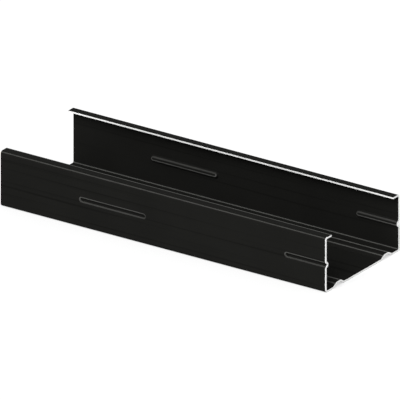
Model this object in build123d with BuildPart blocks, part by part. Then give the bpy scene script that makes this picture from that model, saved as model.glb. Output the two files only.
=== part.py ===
"""Metal framing stud: one length of roll-formed C-section in sheet steel.

The strip is bent into a web and two flanges with returned lips. The web carries
two rolled stiffening ribs, raised into the channel. Short stiffening beads are
embossed into both flanges on a fixed pitch. The stock is sheared to length
wherever the pitch happens to stand, so a bead may run out of the cut end.

Frame: X along the stud, Y across the web, Z up out of the web. The origin is the
middle of the web's underside. One flange is a little taller than the other, so
that two studs can be boxed together.
"""
from build123d import *
import math
import os

# ---- driving dimensions, millimetres ----
LENGTH = 276.0              # cut length
WEB_WIDTH = 92.1            # over the outer faces of the flanges
LOW_FLANGE = 42.0           # height of the lower flange, from the web's underside
TALL_FLANGE = 43.2          # height of the taller flange
LIP = 7.6                   # returned lip, from the flange's outer face
GAUGE = 1.4                 # sheet thickness with its coating
BEND_INSIDE = 0.8           # inside radius of the four long bends

RIB_INSET = 16.35           # rib's centre line, from the flange's outer face
RIB_BASE = 13.0             # rib's width where it leaves the web
RIB_CREST = 4.6             # rib's width at its crest
RIB_HEIGHT = 2.5            # rise of the rib above the web
RIB_ROOT_RADIUS = 2.0       # inside radius where the rib leaves the web
RIB_CREST_RADIUS = 3.0      # inside radius at the rib's crest

BEAD_LENGTH = 56.0          # over the opening of one embossed bead
BEAD_OPENING = 3.8          # width of the bead at the flange's skin
BEAD_FLOOR = 0.9            # width of the bead at its floor
BEAD_DEPTH = 2.1            # depth pressed inward from the skin
BEAD_ROOT_RADIUS = 0.4      # inside radius where the bead leaves the flange
BEAD_FLOOR_RADIUS = 0.7     # inside radius round the bead's floor
BEAD_PITCH = 174.2          # from the start of one bead to the start of the next
FIRST_BEAD = 66.9           # from the stud's first end to the first bead

TOUCH = 0.01                # two places closer than this count as one

# ---- sizes that follow from them ----
half_web = WEB_WIDTH / 2
first_end = -LENGTH / 2
cut_end = LENGTH / 2
bend_outside = BEND_INSIDE + GAUGE
bead_height = LOW_FLANGE / 2

# Enough stock for every bead that starts inside the length.
bead_count = math.ceil((LENGTH - FIRST_BEAD) / BEAD_PITCH)
last_bead = first_end + FIRST_BEAD + (bead_count - 1) * BEAD_PITCH
stock_end = max(cut_end, last_bead + BEAD_LENGTH) + BEAD_OPENING

# The bead's wall leans back from the direction of pressing. Inside the channel it
# stands one gauge further out, which widens the raised side all round.
bead_lean = math.atan2((BEAD_OPENING - BEAD_FLOOR) / 2, BEAD_DEPTH)
raised_margin = GAUGE * math.tan((math.pi / 2 - bead_lean) / 2)

# Where the beads' middles lie on a flange, along the stud from the first end.
bead_places = [
    (FIRST_BEAD + number * BEAD_PITCH + BEAD_LENGTH / 2, 0)
    for number in range(bead_count)
]

# The outer skin of each flange at the beads' height, facing into the channel.
flange_skins = [
    Plane(origin=(first_end, side * half_web, bead_height), x_dir=(1, 0, 0), z_dir=(0, -side, 0))
    for side in (-1, 1)
]


def rib_corners(centre):
    """Corners of one web rib on the strip's underside, from left to right."""
    return [
        (centre - RIB_BASE / 2, 0),
        (centre - RIB_CREST / 2, RIB_HEIGHT),
        (centre + RIB_CREST / 2, RIB_HEIGHT),
        (centre + RIB_BASE / 2, 0),
    ]


def bead_rims(body, depth):
    """Edges that run round the beads at one depth from the flanges' outer skin."""
    level = half_web - depth
    low_side = body.edges().filter_by_position(Axis.Y, -level - TOUCH, -level + TOUCH)
    tall_side = body.edges().filter_by_position(Axis.Y, level - TOUCH, level + TOUCH)
    reach = BEAD_OPENING / 2 + raised_margin + TOUCH
    rims = (low_side + tall_side).filter_by_position(Axis.Z, bead_height - reach, bead_height + reach)
    return rims.filter_by_position(Axis.X, first_end + TOUCH, stock_end - TOUCH)


# The outer skin of the strip, from the low flange's lip round to the tall one's.
skin = (
    [(-half_web + LIP, LOW_FLANGE), (-half_web, LOW_FLANGE), (-half_web, 0)]
    + rib_corners(-half_web + RIB_INSET)
    + rib_corners(half_web - RIB_INSET)
    + [(half_web, 0), (half_web, TALL_FLANGE), (half_web - LIP, TALL_FLANGE)]
)
rib_root = RIB_ROOT_RADIUS + GAUGE
rib_radii = [rib_root, RIB_CREST_RADIUS, RIB_CREST_RADIUS, rib_root]
skin_radii = [bend_outside] * 2 + rib_radii * 2 + [bend_outside] * 2

with BuildPart() as stud:
    # the roll-formed section, run out as stock
    with BuildSketch(Plane.YZ.offset(first_end)):
        with BuildLine():
            FilletPolyline(*skin, radius=skin_radii)
            offset(amount=GAUGE, side=Side.LEFT)
        make_face()
    extrude(amount=stock_end - first_end)

    # the beads: raised inside the channel, then pressed in from outside
    for flange_skin in flange_skins:
        with BuildSketch(flange_skin.offset(GAUGE)):
            with Locations(*bead_places):
                SlotOverall(BEAD_LENGTH + 2 * raised_margin, BEAD_OPENING + 2 * raised_margin)
        extrude(amount=BEAD_DEPTH, taper=math.degrees(bead_lean))
        with BuildSketch(flange_skin):
            with Locations(*bead_places):
                SlotOverall(BEAD_LENGTH, BEAD_OPENING)
        extrude(amount=BEAD_DEPTH, taper=math.degrees(bead_lean), mode=Mode.SUBTRACT)

    # every bend of the bead is rounded on both sides, about the same centres
    fillet(bead_rims(stud, 0), BEAD_ROOT_RADIUS + GAUGE)
    fillet(bead_rims(stud, GAUGE), BEAD_ROOT_RADIUS)
    fillet(bead_rims(stud, BEAD_DEPTH), BEAD_FLOOR_RADIUS)
    fillet(bead_rims(stud, BEAD_DEPTH + GAUGE), BEAD_FLOOR_RADIUS + GAUGE)

    # the shears cut the stock to length
    split(bisect_by=Plane.YZ.offset(cut_end), keep=Keep.BOTTOM)

stud.part.label = "stud"

os.makedirs("parts", exist_ok=True)
export_step(stud.part, "parts/stud.step")
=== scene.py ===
"""Metal framing stud: a short length of black coated, roll-formed C-section.

The strip is drawn as its outer skin, bent round its corners, run out along the
stud, pressed with its beads, sheared to length and given the sheet's thickness.
Units are metres. X runs along the stud, Y across the web, Z out of the web.
"""
import math

import bmesh
import bpy
from bpy.props import FloatProperty, FloatVectorProperty, IntProperty, PointerProperty
from mathutils import Euler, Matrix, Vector


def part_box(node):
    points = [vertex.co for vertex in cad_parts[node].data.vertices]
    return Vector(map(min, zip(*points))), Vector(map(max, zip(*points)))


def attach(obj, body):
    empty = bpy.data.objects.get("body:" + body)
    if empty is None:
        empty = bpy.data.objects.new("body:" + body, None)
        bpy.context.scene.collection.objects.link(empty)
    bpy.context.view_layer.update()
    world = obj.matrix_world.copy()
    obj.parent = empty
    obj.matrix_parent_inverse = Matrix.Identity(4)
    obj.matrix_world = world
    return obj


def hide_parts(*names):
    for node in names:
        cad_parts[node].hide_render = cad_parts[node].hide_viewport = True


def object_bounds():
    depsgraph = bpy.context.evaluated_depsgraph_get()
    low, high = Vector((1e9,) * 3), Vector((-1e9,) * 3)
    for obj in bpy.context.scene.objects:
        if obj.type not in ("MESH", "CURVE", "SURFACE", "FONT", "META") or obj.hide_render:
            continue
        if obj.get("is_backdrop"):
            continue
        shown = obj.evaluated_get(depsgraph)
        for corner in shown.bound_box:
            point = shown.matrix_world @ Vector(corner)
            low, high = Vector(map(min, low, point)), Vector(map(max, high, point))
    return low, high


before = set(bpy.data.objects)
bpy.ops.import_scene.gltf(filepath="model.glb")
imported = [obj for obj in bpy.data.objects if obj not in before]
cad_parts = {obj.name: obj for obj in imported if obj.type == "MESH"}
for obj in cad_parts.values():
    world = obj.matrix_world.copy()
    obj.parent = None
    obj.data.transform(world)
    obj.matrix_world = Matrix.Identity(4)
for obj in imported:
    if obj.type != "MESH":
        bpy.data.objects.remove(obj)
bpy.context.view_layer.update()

bl_info = {
    "name": "Metal Framing Stud",
    "version": (1, 0, 0),
    "blender": (4, 5, 0),
    "location": "View3D > Sidebar > Stud",
    "description": "Makes a dressed length of metal framing stud and its studio stage",
    "category": "Add Mesh",
}

NODE = "stud"
BODY = "root"
PIECE = "stud_sheet"
LOW_CORNER, HIGH_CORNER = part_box(NODE)
MM = 0.001
MERGE = 1e-6                # vertices nearer than this are one
COLLAR = 1.2                # how far a bead's flat collar reaches, in lengths of its root bend
WHITE = (1.0, 1.0, 1.0)


def length_property(name, description, default):
    """A size in metres, shown in the scene's length unit."""
    return FloatProperty(
        name=name, description=description, default=default, min=0.0,
        unit="LENGTH", subtype="DISTANCE", precision=5,
    )


def angle_property(name, description, degrees):
    """An angle, with its default in degrees."""
    return FloatProperty(
        name=name, description=description, default=math.radians(degrees),
        unit="ROTATION", subtype="ANGLE",
    )


def share_property(name, description, default):
    """A share, from 0 to 1."""
    return FloatProperty(
        name=name, description=description, default=default, min=0.0, max=1.0,
        subtype="FACTOR",
    )


def level_property(name, description, default):
    """A level of light. The lamps and the surround come to about 1 on the floor."""
    return FloatProperty(name=name, description=description, default=default, min=0.0)


def colour_property(name, description, default):
    """A linear colour."""
    return FloatVectorProperty(
        name=name, description=description, default=default,
        size=3, min=0.0, max=1.0, subtype="COLOR",
    )


class StudSizes(bpy.types.PropertyGroup):
    """Sizes of the rolled section, its ribs and its beads."""

    length: length_property("Length", "Cut length of the stud", HIGH_CORNER.x - LOW_CORNER.x)
    web_width: length_property(
        "Web width", "Over the outer faces of the flanges", HIGH_CORNER.y - LOW_CORNER.y)
    tall_flange: length_property(
        "Tall flange", "Height of the taller flange", HIGH_CORNER.z - LOW_CORNER.z)
    flange_step: length_property(
        "Flange step", "How much lower the other flange is", 1.2 * MM)
    lip: length_property("Lip", "Returned lip, from the flange's outer face", 7.6 * MM)
    gauge: length_property("Gauge", "Thickness of the sheet", 1.4 * MM)
    bend_inside: length_property("Bend radius", "Inside radius of the long bends", 0.8 * MM)
    rib_inset: length_property("Rib inset", "Rib's centre, from the outer face", 16.35 * MM)
    rib_base: length_property("Rib base", "Rib's width where it leaves the web", 13.0 * MM)
    rib_crest: length_property("Rib crest", "Rib's width at its crest", 4.6 * MM)
    rib_height: length_property("Rib height", "Rise of the rib above the web", 2.5 * MM)
    rib_root_radius: length_property("Rib root radius", "Inside radius at the root", 2.0 * MM)
    rib_crest_radius: length_property("Rib crest radius", "Inside radius at the crest", 3.0 * MM)
    bead_length: length_property("Bead length", "Over the bead's opening", 56.0 * MM)
    bead_opening: length_property("Bead opening", "Width at the flange's skin", 3.8 * MM)
    bead_floor: length_property("Bead floor", "Width at the bead's floor", 0.9 * MM)
    bead_depth: length_property("Bead depth", "Depth pressed inward", 2.1 * MM)
    bead_root_radius: length_property("Bead root radius", "Inside radius at the root", 0.4 * MM)
    bead_floor_radius: length_property("Bead floor radius", "Inside radius at the floor", 0.7 * MM)
    bead_pitch: length_property("Bead pitch", "From one bead's start to the next", 174.2 * MM)
    first_bead: length_property("First bead", "From the first end to the first bead", 66.9 * MM)
    sheared_round: length_property(
        "Sheared edge", "How far the shears round the sheet's edges over", 0.2 * MM)
    bend_steps: IntProperty(
        name="Bend steps", description="Facets round one long bend", default=10, min=2, max=32)
    bead_steps: IntProperty(
        name="Bead steps", description="Facets round a bead's end", default=16, min=4, max=64)
    root_steps: IntProperty(
        name="Root steps", description="Facets across a bead's root bend", default=6, min=1, max=16)
    floor_steps: IntProperty(
        name="Floor steps", description="Facets across a bead's floor bend", default=4, min=1, max=16)


class StudFinish(bpy.types.PropertyGroup):
    """The coating, its scuffs, flaked edges and painted highlight lines, and the sheared steel."""

    coating: colour_property("Coating", "Black coil coating", (0.0087, 0.0087, 0.0080))
    # Colour of the pale lines along the bends, ribs, beads and low slit: partly scuffed coating,
    # partly painted highlights.
    scuffed_and_highlit: colour_property("Rubbed coating", "Coating rubbed pale", (0.110, 0.110, 0.104))
    slit_steel: colour_property(
        "Slit steel", "Steel on the lips' edges, wiped bright by the rolls", (0.95, 0.95, 0.94))
    cut_steel: colour_property("Cut steel", "Steel on the cut ends", (0.77, 0.77, 0.765))
    # Half width of those pale lines, which are partly painted highlights.
    scuff_highlight_width: length_property("Rubbed width", "Half width of a rubbed line", 0.55 * MM)
    flaked_width: length_property(
        "Flaked width", "How far the coating has flaked back from a shear", 0.3 * MM)
    streak_depth: length_property("Streak depth", "Depth of the roller streaks", 0.02 * MM)
    peel_depth: length_property("Peel depth", "Depth of the coating's orange peel", 0.012 * MM)
    gloss: share_property("Gloss", "How strongly the coating shines", 0.006)


class StudStage(bpy.types.PropertyGroup):
    """The floor, the lamps and the camera."""

    floor_size: length_property("Floor size", "Side of the square floor", 6.0)
    floor_colour: colour_property("Floor", "Plain white floor", WHITE)
    floor_fill: share_property(
        "Floor fill", "Share of the floor's white that a shadow doesn't darken", 0.55)
    dome: level_property("Dome", "Level of the even surround", 0.4)
    key: level_property("Key", "Level of the softbox in front of the stud", 0.88)
    key_azimuth: angle_property("Key azimuth", "Key's turn from looking along +Y", 5)
    key_elevation: angle_property("Key elevation", "Key's height above the level", 44)
    key_spread: angle_property("Key spread", "How wide the key looks from the stud", 40)
    end: level_property("End", "Level of the softbox beyond the cut end", 0.2)
    end_azimuth: angle_property("End azimuth", "End softbox's turn from looking along +Y", 80)
    end_elevation: angle_property("End elevation", "End softbox's height above the level", 35)
    end_spread: angle_property("End spread", "How wide the end softbox looks", 30)
    camera_azimuth: angle_property("Azimuth", "Camera's turn from looking along +Y", 34.27)
    camera_elevation: angle_property("Elevation", "Camera's height above the level", 23.16)
    camera_distance: length_property("Camera distance", "From the stud's middle", 1.5)
    picture_width: length_property("Picture width", "Width that the camera takes in", 0.2806)


# ---------------------------------------------------------------- the stud


def tangent_length(radius, turn):
    """How far along each leg an arc of this radius starts from its corner."""
    return radius * math.tan(turn / 2)


def bend_corner(bm, corner, radius, turn, steps):
    """Rounds one corner of a wire into an arc."""
    bmesh.ops.bevel(
        bm, geom=[corner], offset=tangent_length(radius, turn), offset_type="OFFSET",
        segments=steps, profile=0.5, affect="VERTICES", material=-1,
    )


def draw_wire(bm, points):
    """A wire through these points, and its vertices in order."""
    verts = [bm.verts.new(point) for point in points]
    for start, end in zip(verts, verts[1:]):
        bm.edges.new((start, end))
    return verts


def run_out(bm, edges, distance):
    """Draws these edges out along X into faces."""
    run = bmesh.ops.extrude_edge_only(bm, edges=edges)
    moved = [item for item in run["geom"] if isinstance(item, bmesh.types.BMVert)]
    bmesh.ops.translate(bm, vec=(distance, 0, 0), verts=moved)


def whole(bm):
    """All of a bmesh's geometry, for the operators that work on the whole of it."""
    return bm.verts[:] + bm.edges[:] + bm.faces[:]


def rib_points(sizes, x, centre):
    """Corners of one web rib on the sheet's underside."""
    base = sizes.rib_base / 2
    crest = sizes.rib_crest / 2
    return [
        (x, centre - base, 0),
        (x, centre - crest, sizes.rib_height),
        (x, centre + crest, sizes.rib_height),
        (x, centre + base, 0),
    ]


def rib_turn(sizes):
    """Slope of the ribs' sides, from the web."""
    return math.atan2(sizes.rib_height, (sizes.rib_base - sizes.rib_crest) / 2)


def bead_turn(sizes):
    """Slope of the beads' walls, from the flange."""
    return math.atan2(sizes.bead_depth, (sizes.bead_opening - sizes.bead_floor) / 2)


def low_flange(sizes):
    """Height of the lower flange."""
    return sizes.tall_flange - sizes.flange_step


def bead_height(sizes):
    """Height of the beads' centre lines, half way up the low flange."""
    return low_flange(sizes) / 2


def bead_half_run(sizes):
    """Half of a bead's straight run, between the centres of its round ends."""
    return (sizes.bead_length - sizes.bead_opening) / 2


def bead_starts(sizes):
    """Where each bead of a row begins, up to the one that the cut runs through."""
    count = math.ceil((sizes.length - sizes.first_bead) / sizes.bead_pitch)
    first = sizes.first_bead - sizes.length / 2
    return [first + number * sizes.bead_pitch for number in range(count)]


def roll_strip(bm, sizes, start, end):
    """The strip's outer skin, rolled to its section and run from start to end."""
    half_web = sizes.web_width / 2
    tall = sizes.tall_flange
    low = low_flange(sizes)
    points = [(start, -half_web + sizes.lip, low), (start, -half_web, low), (start, -half_web, 0)]
    points += rib_points(sizes, start, -half_web + sizes.rib_inset)
    points += rib_points(sizes, start, half_web - sizes.rib_inset)
    points += [(start, half_web, 0), (start, half_web, tall), (start, half_web - sizes.lip, tall)]
    wire = draw_wire(bm, points)

    outside = sizes.bend_inside + sizes.gauge
    root = sizes.rib_root_radius + sizes.gauge
    crest = sizes.rib_crest_radius
    square_bends = [(outside, math.pi / 2, sizes.bend_steps)] * 2
    rib_steps = sizes.bend_steps // 2 + 1
    rib_bends = [(radius, rib_turn(sizes), rib_steps) for radius in (root, crest, crest, root)]
    bends = square_bends + rib_bends * 2 + square_bends
    for corner, (radius, turn, steps) in zip(wire[1:-1], bends):
        bend_corner(bm, corner, radius, turn, steps)
    run_out(bm, bm.edges[:], end - start)


def press_bead(sizes):
    """One bead's skin about the origin, pressed along +Y, as a mesh."""
    bm = bmesh.new()
    turn = bead_turn(sizes)
    root = sizes.bead_root_radius + sizes.gauge
    opening = sizes.bead_opening / 2
    collar = opening + COLLAR * tangent_length(root, turn)
    half_run = bead_half_run(sizes)
    wire = draw_wire(bm, [
        (-half_run, 0, collar),
        (-half_run, 0, opening),
        (-half_run, sizes.bead_depth, sizes.bead_floor / 2),
        (-half_run, sizes.bead_depth, 0),
    ])
    bend_corner(bm, wire[1], root, turn, sizes.root_steps)
    bend_corner(bm, wire[2], sizes.bead_floor_radius, turn, sizes.floor_steps)
    bmesh.ops.spin(
        bm, geom=bm.verts[:] + bm.edges[:], cent=(-half_run, 0, 0), axis=(0, 1, 0),
        dvec=(0, 0, 0), angle=-math.pi, steps=sizes.bead_steps, use_duplicate=False,
    )
    bmesh.ops.remove_doubles(bm, verts=bm.verts[:], dist=MERGE)
    section = [
        edge for edge in bm.edges
        if all(abs(vert.co.x + half_run) < MERGE for vert in edge.verts)
    ]
    run_out(bm, section, half_run)
    bmesh.ops.mirror(bm, geom=whole(bm), axis="X", merge_dist=MERGE)
    bmesh.ops.remove_doubles(bm, verts=bm.verts[:], dist=MERGE)
    mesh = bpy.data.meshes.new("pressed_bead")
    bm.to_mesh(mesh)
    bm.free()
    return mesh


def open_flat(bm, sizes, side):
    """Takes out one flange's flat and returns the edges left round it."""
    level = side * sizes.web_width / 2
    flats = [
        face for face in bm.faces
        if all(abs(vert.co.y - level) < MERGE for vert in face.verts)
    ]
    if not flats:
        raise RuntimeError("The flange has no flat to press its beads into")
    rim = [edge for face in flats for edge in face.edges]
    bmesh.ops.delete(bm, geom=flats, context="FACES_ONLY")
    return rim


def add_beads(bm, sizes, side, starts):
    """Presses a row of beads into one flange."""
    rim = open_flat(bm, sizes, side)
    bead = press_bead(sizes)
    for start in starts:
        known = set(bm.verts)
        bm.from_mesh(bead)
        fresh = [vert for vert in bm.verts if vert not in known]
        middle = start + sizes.bead_length / 2
        place = (middle, side * sizes.web_width / 2, bead_height(sizes))
        bmesh.ops.scale(bm, vec=(1, -side, 1), verts=fresh)
        bmesh.ops.translate(bm, vec=place, verts=fresh)
        edges = {edge for vert in fresh for edge in vert.link_edges}
        rim += [edge for edge in edges if edge.is_boundary]
    bmesh.ops.triangle_fill(
        bm, use_beauty=True, use_dissolve=False, edges=rim, normal=(0, side, 0))
    bpy.data.meshes.remove(bead)


def shear_off(bm, cut_end):
    """Cuts the stock off square beyond the cut end."""
    bmesh.ops.bisect_plane(
        bm, geom=whole(bm), dist=MERGE,
        plane_co=(cut_end, 0, 0), plane_no=(1, 0, 0), clear_outer=True,
    )
    bmesh.ops.remove_doubles(bm, verts=bm.verts[:], dist=MERGE)


def check_skin(bm):
    """Stops the work if the skin has a hole, a seam or a stray edge."""
    rim = [edge for edge in bm.edges if edge.is_boundary]
    walked = rim[0]
    here, last = walked.verts
    count = 1
    while here is not last:
        ways_on = [edge for edge in here.link_edges if edge.is_boundary and edge is not walked]
        if len(ways_on) != 1:
            raise RuntimeError("The strip's edge branches or breaks off")
        walked = ways_on[0]
        here = walked.other_vert(here)
        count += 1
    if count != len(rim):
        raise RuntimeError("The strip has a hole or an open seam")


def face_outwards(bm):
    """Turns the skin's normals out of the stud, which is downwards under its web."""
    bmesh.ops.recalc_face_normals(bm, faces=bm.faces[:])
    web = min(bm.faces, key=lambda face: face.calc_center_median().z)
    if web.normal.z > 0:
        bmesh.ops.reverse_faces(bm, faces=bm.faces[:])


def make_skin(sizes):
    """The stud's finished outer skin, as a mesh."""
    bm = bmesh.new()
    cut_end = sizes.length / 2
    starts = bead_starts(sizes)
    stock_end = max(cut_end, starts[-1] + sizes.bead_length) + sizes.bead_opening
    roll_strip(bm, sizes, -sizes.length / 2, stock_end)
    for side in (-1, 1):
        add_beads(bm, sizes, side, starts)
    shear_off(bm, cut_end)
    check_skin(bm)
    face_outwards(bm)
    for face in bm.faces:
        face.smooth = True
    mesh = bpy.data.meshes.new(PIECE)
    bm.to_mesh(mesh)
    bm.free()
    return mesh


def give_thickness(piece, sizes):
    """Grows the sheet inwards from its skin and rounds its sheared edges."""
    wall = piece.modifiers.new("Gauge", "SOLIDIFY")
    wall.thickness = sizes.gauge
    wall.offset = -1
    wall.use_even_offset = True
    wall.use_quality_normals = True
    wall.material_offset_rim = 1
    edges = piece.modifiers.new("Sheared edges", "BEVEL")
    edges.width = sizes.sheared_round
    edges.segments = 3
    edges.limit_method = "ANGLE"
    edges.angle_limit = math.radians(60)
    edges.material = 0
    flats = piece.modifiers.new("Flat faces", "WEIGHTED_NORMAL")
    flats.keep_sharp = True


# ---------------------------------------------------------------- finishes


class Nodes:
    """Lays nodes out in the tree of a material or of the world, and joins them up."""

    def __init__(self, owner):
        owner.use_nodes = True
        self.tree = owner.node_tree
        self.tree.nodes.clear()

    def new(self, kind):
        """A new node."""
        return self.tree.nodes.new(kind)

    def join(self, source, target):
        """Links a source socket to a target socket, or sets the target to a number."""
        if isinstance(source, (int, float)):
            target.default_value = source
        else:
            self.tree.links.new(source, target)

    def work_out(self, operation, *values):
        """One step of arithmetic on sockets and numbers."""
        step = self.new("ShaderNodeMath")
        step.operation = operation
        for value, socket in zip(values, step.inputs):
            self.join(value, socket)
        return step.outputs["Value"]

    def add(self, first, second):
        """The sum of two values."""
        return self.work_out("ADD", first, second)

    def subtract(self, first, second):
        """The first value less the second."""
        return self.work_out("SUBTRACT", first, second)

    def multiply(self, first, second):
        """The product of two values, or where both of two masks are on."""
        return self.work_out("MULTIPLY", first, second)

    def larger(self, first, second):
        """The larger of two values, or where either of two masks is on."""
        return self.work_out("MAXIMUM", first, second)

    def under(self, value, limit):
        """1 where the value is under the limit, and 0 elsewhere."""
        return self.work_out("LESS_THAN", value, limit)

    def over(self, value, limit):
        """1 where the value is over the limit, and 0 elsewhere."""
        return self.work_out("GREATER_THAN", value, limit)

    def choose(self, mask, if_off, if_on):
        """One number where the mask is 0, and another where it is 1."""
        return self.work_out("MULTIPLY_ADD", mask, if_on - if_off, if_off)

    def ease(self, value, low, high, to_low=0.0, to_high=1.0):
        """Value eased from one range into another and held at its ends."""
        step = self.new("ShaderNodeMapRange")
        step.interpolation_type = "SMOOTHSTEP"
        for name, source in (
            ("Value", value), ("From Min", low), ("From Max", high),
            ("To Min", to_low), ("To Max", to_high),
        ):
            self.join(source, step.inputs[name])
        return step.outputs["Result"]

    def seen(self):
        """1 for what the camera sees itself, in gloss or through glass, and 0 for light."""
        path = self.new("ShaderNodeLightPath")
        mirrored = self.larger(path.outputs["Is Glossy Ray"], path.outputs["Is Transmission Ray"])
        return self.larger(path.outputs["Is Camera Ray"], mirrored)


class FinishNodes(Nodes):
    """A material's nodes round one Principled shader."""

    def __init__(self, name):
        self.material = bpy.data.materials.new(name)
        super().__init__(self.material)
        self.output = self.new("ShaderNodeOutputMaterial")
        self.shader = self.new("ShaderNodeBsdfPrincipled")
        self.join(self.shader.outputs["BSDF"], self.output.inputs["Surface"])

    def blend(self, amount, first, second):
        """Two colours blended by an amount."""
        mix = self.new("ShaderNodeMix")
        mix.data_type = "RGBA"
        self.join(amount, mix.inputs["Factor"])
        for colour, socket in ((first, mix.inputs["A"]), (second, mix.inputs["B"])):
            if isinstance(colour, bpy.types.NodeSocket):
                self.join(colour, socket)
            else:
                socket.default_value = (*colour, 1)
        return mix.outputs["Result"]

    def bump(self, height, depth, under=None):
        """A bump of this depth, over another bump if there is one."""
        step = self.new("ShaderNodeBump")
        step.inputs["Distance"].default_value = depth
        self.join(height, step.inputs["Height"])
        if under is not None:
            self.join(under, step.inputs["Normal"])
        return step.outputs["Normal"]


class StudNodes(FinishNodes):
    """A finish that is laid out over the stud in its own coordinates."""

    def __init__(self, name, sizes):
        super().__init__(name)
        self.sizes = sizes
        self.place = self.new("ShaderNodeTexCoord").outputs["Object"]
        apart = self.new("ShaderNodeSeparateXYZ")
        self.join(self.place, apart.inputs["Vector"])
        self.x, self.y, self.z = apart.outputs

    def noise(self, grains, detail=2.0):
        """Noise from 0 to 1 with this many grains a metre along X, Y and Z."""
        scale = self.new("ShaderNodeVectorMath")
        scale.operation = "MULTIPLY"
        scale.inputs[1].default_value = grains
        self.join(self.place, scale.inputs[0])
        grain = self.new("ShaderNodeTexNoise")
        grain.inputs["Scale"].default_value = 1.0
        grain.inputs["Detail"].default_value = detail
        self.join(scale.outputs["Vector"], grain.inputs["Vector"])
        return grain.outputs["Fac"]


class CoatingNodes(StudNodes):
    """The coating, with the distances that its scuffs and painted highlight lines follow."""

    def __init__(self, name, sizes):
        super().__init__(name, sizes)
        self.from_face = self.subtract(sizes.web_width / 2, self.work_out("ABSOLUTE", self.y))
        self.low_side = self.under(self.y, 0.0)
        top = self.choose(self.low_side, if_off=sizes.tall_flange, if_on=low_flange(sizes))
        self.from_top = self.subtract(top, self.z)
        self.by_lip = self.over(self.z, sizes.tall_flange / 2)

    def line(self, distance, half_width, line_paleness):
        """This much paleness on a line, fading from near its middle to nothing at its sides."""
        away = self.work_out("ABSOLUTE", distance)
        return self.ease(away, 0.45 * half_width, half_width, to_low=line_paleness, to_high=0.0)


def scuffed_bend_highlights(nodes, width):
    """A pale line round the outside of each lip's bend and the inside of each web corner: partly
    scuffed coating, partly painted highlight.
    """
    sizes = nodes.sizes
    bend = nodes.line(nodes.subtract(nodes.from_face, nodes.from_top), width, line_paleness=0.42)
    on_lip = nodes.under(nodes.from_face, sizes.lip)
    corner = nodes.line(nodes.subtract(nodes.from_face, nodes.z), width, line_paleness=0.6)
    inside = nodes.over(nodes.from_face, sizes.gauge / 2)
    return nodes.larger(nodes.multiply(bend, on_lip), nodes.multiply(corner, inside))


def scuffed_slit_highlight(nodes, width):
    """A pale line beside the low lip's slit edge: coating scuffed where studs nest, and a painted
    highlight along that edge.
    """
    slit = nodes.line(nodes.subtract(nodes.sizes.lip, nodes.from_face), width, line_paleness=1.0)
    return nodes.multiply(slit, nodes.multiply(nodes.low_side, nodes.by_lip))


def scuffed_rib_highlights(nodes, width):
    """A broad pale line on one shoulder of each rib and a fine one part way down its other side,
    partly scuffs and partly painted highlights.
    """
    sizes = nodes.sizes
    to_rib = sizes.web_width / 2 - sizes.rib_inset
    shoulder = sizes.rib_crest / 2
    part_way = 0.4
    down_side = shoulder + part_way * (sizes.rib_base - sizes.rib_crest) / 2
    across = nodes.subtract(nodes.y, nodes.choose(nodes.low_side, to_rib, -to_rib))
    broad = nodes.line(nodes.subtract(across, shoulder), half_width=2.5 * width, line_paleness=1.0)
    fine = nodes.line(nodes.add(across, down_side), half_width=0.9 * width, line_paleness=0.6)
    return nodes.larger(broad, fine)


def bead_line(nodes, lift, radius, width, paleness_below, paleness_above):
    """A line round each bead, raised by lift, at this radius from its centre line; its paleness goes
    from one level below to another above.
    """
    sizes = nodes.sizes
    middle = bead_starts(sizes)[0] + sizes.bead_length / 2
    half_pitch = sizes.bead_pitch / 2
    half_run = bead_half_run(sizes)
    along = nodes.work_out("WRAP", nodes.subtract(nodes.x, middle), half_pitch, -half_pitch)
    past = nodes.larger(nodes.subtract(nodes.work_out("ABSOLUTE", along), half_run), 0.0)
    above = nodes.subtract(nodes.z, bead_height(sizes) + lift)
    squares = nodes.add(nodes.multiply(past, past), nodes.multiply(above, above))
    reach = nodes.work_out("SQRT", squares)
    # Painted light: the caller makes the line paler on the side where the bead's wall faces down into
    # shade.
    line_paleness = nodes.ease(above, -radius, radius, paleness_below, paleness_above)
    return nodes.multiply(nodes.line(nodes.subtract(reach, radius), width, line_paleness=1.0), line_paleness)


def scuffed_bead_highlights(nodes, width):
    """A pale line just inside each bead's rim, and one round the crest that it raises inside: partly
    scuffs, partly painted highlights.
    """
    sizes = nodes.sizes
    rim = sizes.bead_opening / 2 - 0.15 * MM
    crest = sizes.bead_floor / 2 + sizes.bead_floor_radius
    # Painted light: each line is paler where the bead's wall faces down into shade and less pale
    # where it faces up to the light.
    pressed = bead_line(
        nodes, lift=0.35 * MM, radius=rim, width=width, paleness_below=0.36, paleness_above=0.68)
    raised = bead_line(
        nodes, lift=0.45 * MM, radius=crest, width=width, paleness_below=1.0, paleness_above=0.3)
    behind_rim = nodes.under(nodes.from_face, 0.85 * sizes.gauge)
    past_depth = nodes.over(nodes.from_face, sizes.bead_depth)
    by_flange = nodes.under(nodes.from_face, sizes.bead_depth + 2 * sizes.gauge)
    raised = nodes.multiply(raised, nodes.multiply(past_depth, by_flange))
    return nodes.larger(nodes.multiply(pressed, behind_rim), raised)


def sheared_burr(nodes):
    """Bare steel round the cut end, except on the skins that the shears rolled over."""
    sizes = nodes.sizes
    skin = sizes.gauge / 2
    from_cut = nodes.subtract(sizes.length / 2, nodes.x)
    burr = nodes.under(from_cut, sizes.sheared_round / 4)
    tall_side = nodes.subtract(1.0, nodes.low_side)
    tall_skin = nodes.multiply(nodes.under(nodes.from_face, skin), tall_side)
    rolled_over = nodes.larger(tall_skin, nodes.under(nodes.z, skin))
    return nodes.multiply(burr, nodes.subtract(1.0, rolled_over))


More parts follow.
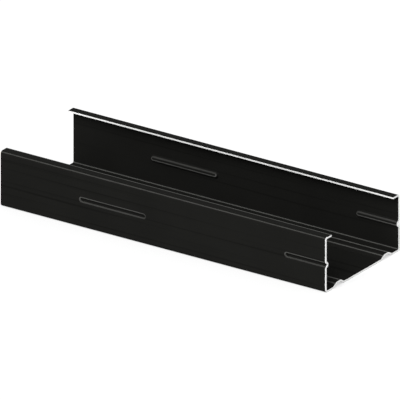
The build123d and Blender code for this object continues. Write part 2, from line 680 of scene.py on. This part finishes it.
def flaked_edge(nodes, width):
    """A ragged band on the low flange's skin, where the coating has flaked off the cut."""
    sizes = nodes.sizes
    from_cut = nodes.subtract(sizes.length / 2, nodes.x)
    grain = nodes.noise(grains=(700, 700, 700), detail=3.0)
    ragged = nodes.ease(grain, 0.3, 0.7, to_low=0.4 * width, to_high=width)
    flaked = nodes.under(from_cut, nodes.add(ragged, sizes.sheared_round))
    skin = nodes.multiply(nodes.low_side, nodes.under(nodes.from_face, sizes.bead_depth))
    upright = nodes.over(nodes.z, sizes.gauge)
    return nodes.multiply(flaked, nodes.multiply(skin, upright))


def bare_slits(nodes):
    """The lips' slit edges, bare nearly all round their burred lower arris."""
    sizes = nodes.sizes
    burred = nodes.over(nodes.from_top, sizes.gauge / 2)
    bare_part = nodes.choose(burred, if_off=0.03, if_on=0.95)
    edge = nodes.subtract(sizes.lip, nodes.multiply(bare_part, sizes.sheared_round))
    return nodes.multiply(nodes.over(nodes.from_face, edge), nodes.by_lip)


def shade(colour, level):
    """A colour made darker, or paler where the level is over 1."""
    return tuple(level * part for part in colour)


def coating_material(finish, sizes):
    """Black coil coating with roller streaks, a fine peel, pale lines of scuffs and painted
    highlights, and bare edges.
    """
    nodes = CoatingNodes("black_coil_coating", sizes)
    clouds = nodes.noise(grains=(22, 22, 22), detail=3.0)
    streaks = nodes.noise(grains=(3, 420, 420))
    peel = nodes.noise(grains=(1100, 1100, 1100), detail=1.0)
    patches = nodes.noise(grains=(160, 900, 900))

    width = finish.scuff_highlight_width
    scuff_and_highlight = nodes.larger(scuffed_bend_highlights(nodes, 1.3 * width), scuffed_rib_highlights(nodes, width))
    scuff_and_highlight = nodes.larger(scuff_and_highlight, scuffed_bead_highlights(nodes, width))
    scuff_and_highlight = nodes.larger(scuff_and_highlight, scuffed_slit_highlight(nodes, 1.8 * width))
    scuff_and_highlight = nodes.multiply(scuff_and_highlight, nodes.ease(patches, 0.25, 0.6, to_low=0.75, to_high=1.0))
    cut = nodes.larger(sheared_burr(nodes), flaked_edge(nodes, finish.flaked_width))

    coating = finish.coating
    colour = nodes.blend(nodes.ease(clouds, 0.3, 0.7), coating, shade(coating, 1.15))
    colour = nodes.blend(nodes.ease(streaks, 0.56, 0.72), colour, shade(coating, 0.7))
    # Painted highlights, partly scuffed coating, blended in as pale lines.
    colour = nodes.blend(scuff_and_highlight, colour, finish.scuffed_and_highlit)
    colour = nodes.blend(cut, colour, finish.cut_steel)
    colour = nodes.blend(bare_slits(nodes), colour, finish.slit_steel)
    nodes.join(colour, nodes.shader.inputs["Base Color"])

    rough = nodes.ease(clouds, 0.3, 0.7, to_low=0.52, to_high=0.62)
    polish = nodes.multiply(scuff_and_highlight, 0.12)
    nodes.join(nodes.subtract(rough, polish), nodes.shader.inputs["Roughness"])
    nodes.shader.inputs["Specular IOR Level"].default_value = finish.gloss

    rolled = nodes.bump(streaks, finish.streak_depth)
    surface = nodes.bump(peel, finish.peel_depth, under=rolled)
    nodes.join(surface, nodes.shader.inputs["Normal"])
    return nodes.material


def steel_material(finish, sizes):
    """Pale zinc-smeared steel with the shears' striations, duller on the cut ends."""
    nodes = StudNodes("sheared_steel", sizes)
    marks = nodes.noise(grains=(2600, 2600, 260))
    striae = nodes.ease(marks, 0.35, 0.65)
    slit, cut = finish.slit_steel, finish.cut_steel
    on_slit = nodes.blend(nodes.multiply(striae, 0.3), slit, cut)
    on_end = nodes.blend(striae, cut, shade(cut, 0.9))
    from_middle = nodes.work_out("ABSOLUTE", nodes.x)
    at_end = nodes.over(from_middle, (sizes.length - sizes.sheared_round) / 2)
    nodes.join(nodes.blend(at_end, on_slit, on_end), nodes.shader.inputs["Base Color"])
    rough = nodes.ease(marks, 0.3, 0.7, to_low=0.42, to_high=0.6)
    nodes.join(rough, nodes.shader.inputs["Roughness"])
    nodes.shader.inputs["Metallic"].default_value = 0.1
    nodes.join(nodes.bump(marks, 0.01 * MM), nodes.shader.inputs["Normal"])
    return nodes.material


# ---------------------------------------------------------------- the stage


def floor_material(stage):
    """Matt floor whose shadows are softened by a share of plain white."""
    nodes = FinishNodes("white_floor")
    nodes.shader.inputs["Base Color"].default_value = (*stage.floor_colour, 1)
    nodes.shader.inputs["Roughness"].default_value = 1.0
    nodes.shader.inputs["Specular IOR Level"].default_value = 0.0
    plain = nodes.new("ShaderNodeEmission")
    plain.inputs["Color"].default_value = (*stage.floor_colour, 1)
    mix = nodes.new("ShaderNodeMixShader")
    nodes.join(nodes.multiply(nodes.seen(), stage.floor_fill), mix.inputs["Fac"])
    nodes.join(nodes.shader.outputs["BSDF"], mix.inputs[1])
    nodes.join(plain.outputs["Emission"], mix.inputs[2])
    nodes.join(mix.outputs["Shader"], nodes.output.inputs["Surface"])
    return nodes.material


def make_floor(stage):
    """A level square floor under the stud."""
    bm = bmesh.new()
    bmesh.ops.create_grid(bm, x_segments=1, y_segments=1, size=stage.floor_size / 2)
    mesh = bpy.data.meshes.new("floor")
    bm.to_mesh(mesh)
    bm.free()
    mesh.materials.append(floor_material(stage))
    return bpy.data.objects.new("floor", mesh)


def make_world(stage):
    """An even white surround, at the dome's level where it gives light."""
    world = bpy.data.worlds.new("studio")
    nodes = Nodes(world)
    surround = nodes.new("ShaderNodeBackground")
    surround.inputs["Color"].default_value = (*WHITE, 1)
    nodes.join(nodes.choose(nodes.seen(), stage.dome, 1.0), surround.inputs["Strength"])
    output = nodes.new("ShaderNodeOutputWorld")
    nodes.join(surround.outputs["Background"], output.inputs["Surface"])
    return world


def aim(thing, azimuth, elevation, target, distance):
    """Stands a lamp or a camera off from the target and turns it to face it."""
    turn = Euler((math.pi / 2 - elevation, 0, azimuth))
    thing.rotation_euler = turn
    thing.location = target + turn.to_matrix() @ Vector((0, 0, distance))


def make_softbox(name, level, azimuth, elevation, spread, distance):
    """A softbox so far off that it lights the stud and the whole floor alike."""
    data = bpy.data.lights.new(name, "SUN")
    data.angle = spread
    data.energy = level * math.pi   # at a level of 1, white that faces the lamp renders white
    lamp = bpy.data.objects.new(name, data)
    aim(lamp, azimuth, elevation, Vector(), distance)
    return lamp


def make_camera(stage):
    """A camera without perspective, centred on the stud."""
    data = bpy.data.cameras.new("camera")
    data.type = "ORTHO"
    data.ortho_scale = stage.picture_width
    camera = bpy.data.objects.new("camera", data)
    low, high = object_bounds()
    middle = (low + high) / 2
    aim(camera, stage.camera_azimuth, stage.camera_elevation, middle, stage.camera_distance)
    return camera


# ---------------------------------------------------------------- operators


class STUD_OT_make_stud(bpy.types.Operator):
    """Make the stud: section, beads, thickness and finish."""

    bl_idname = "stud.make_stud"
    bl_label = "Make Stud"

    def execute(self, context):
        sizes = context.scene.stud_sizes
        finish = context.scene.stud_finish
        piece = bpy.data.objects.new(PIECE, make_skin(sizes))
        context.scene.collection.objects.link(piece)
        piece.data.materials.append(coating_material(finish, sizes))
        piece.data.materials.append(steel_material(finish, sizes))
        give_thickness(piece, sizes)
        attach(piece, BODY)
        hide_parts(NODE)
        return {"FINISHED"}


class STUD_OT_make_stage(bpy.types.Operator):
    """Make the floor, the lamps and the camera."""

    bl_idname = "stud.make_stage"
    bl_label = "Make Stage"

    def execute(self, context):
        scene = context.scene
        stage = scene.stud_stage
        if PIECE not in scene.objects:
            raise RuntimeError("The stage is made round the stud, so the stud comes first")
        floor = make_floor(stage)
        key = make_softbox(
            "key_softbox", stage.key, stage.key_azimuth, stage.key_elevation,
            stage.key_spread, stage.floor_size / 2)
        end = make_softbox(
            "end_softbox", stage.end, stage.end_azimuth, stage.end_elevation,
            stage.end_spread, stage.floor_size / 2)
        camera = make_camera(stage)
        for thing in (floor, key, end, camera):
            scene.collection.objects.link(thing)
        floor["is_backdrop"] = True
        scene.camera = camera
        scene.world = make_world(stage)
        scene.view_settings.view_transform = "Standard"
        return {"FINISHED"}


class STUD_PT_sidebar(bpy.types.Panel):
    """Lists the operators, each above the sizes and colours that it uses."""

    bl_idname = "STUD_PT_sidebar"
    bl_label = "Metal Framing Stud"
    bl_space_type = "VIEW_3D"
    bl_region_type = "UI"
    bl_category = "Stud"

    def draw(self, context):
        scene = context.scene
        self.list_step(STUD_OT_make_stud, scene.stud_sizes, scene.stud_finish)
        self.list_step(STUD_OT_make_stage, scene.stud_stage)

    def list_step(self, operator, *groups):
        """One operator's button and the fields of its property groups."""
        box = self.layout.box()
        box.operator(operator.bl_idname)
        for group in groups:
            for field in group.__annotations__:
                box.prop(group, field)


CLASSES = (
    StudSizes,
    StudFinish,
    StudStage,
    STUD_OT_make_stud,
    STUD_OT_make_stage,
    STUD_PT_sidebar,
)


def register():
    """Makes the classes and the scene's groups of sizes, finish and stage known."""
    for cls in CLASSES:
        bpy.utils.register_class(cls)
    bpy.types.Scene.stud_sizes = PointerProperty(type=StudSizes)
    bpy.types.Scene.stud_finish = PointerProperty(type=StudFinish)
    bpy.types.Scene.stud_stage = PointerProperty(type=StudStage)


def unregister():
    """Takes back what register made known."""
    del bpy.types.Scene.stud_stage
    del bpy.types.Scene.stud_finish
    del bpy.types.Scene.stud_sizes
    for cls in reversed(CLASSES):
        bpy.utils.unregister_class(cls)


def main():
    """Makes the stud and its stage."""
    register()
    bpy.ops.stud.make_stud()
    bpy.ops.stud.make_stage()


if __name__ == "__main__":
    main()
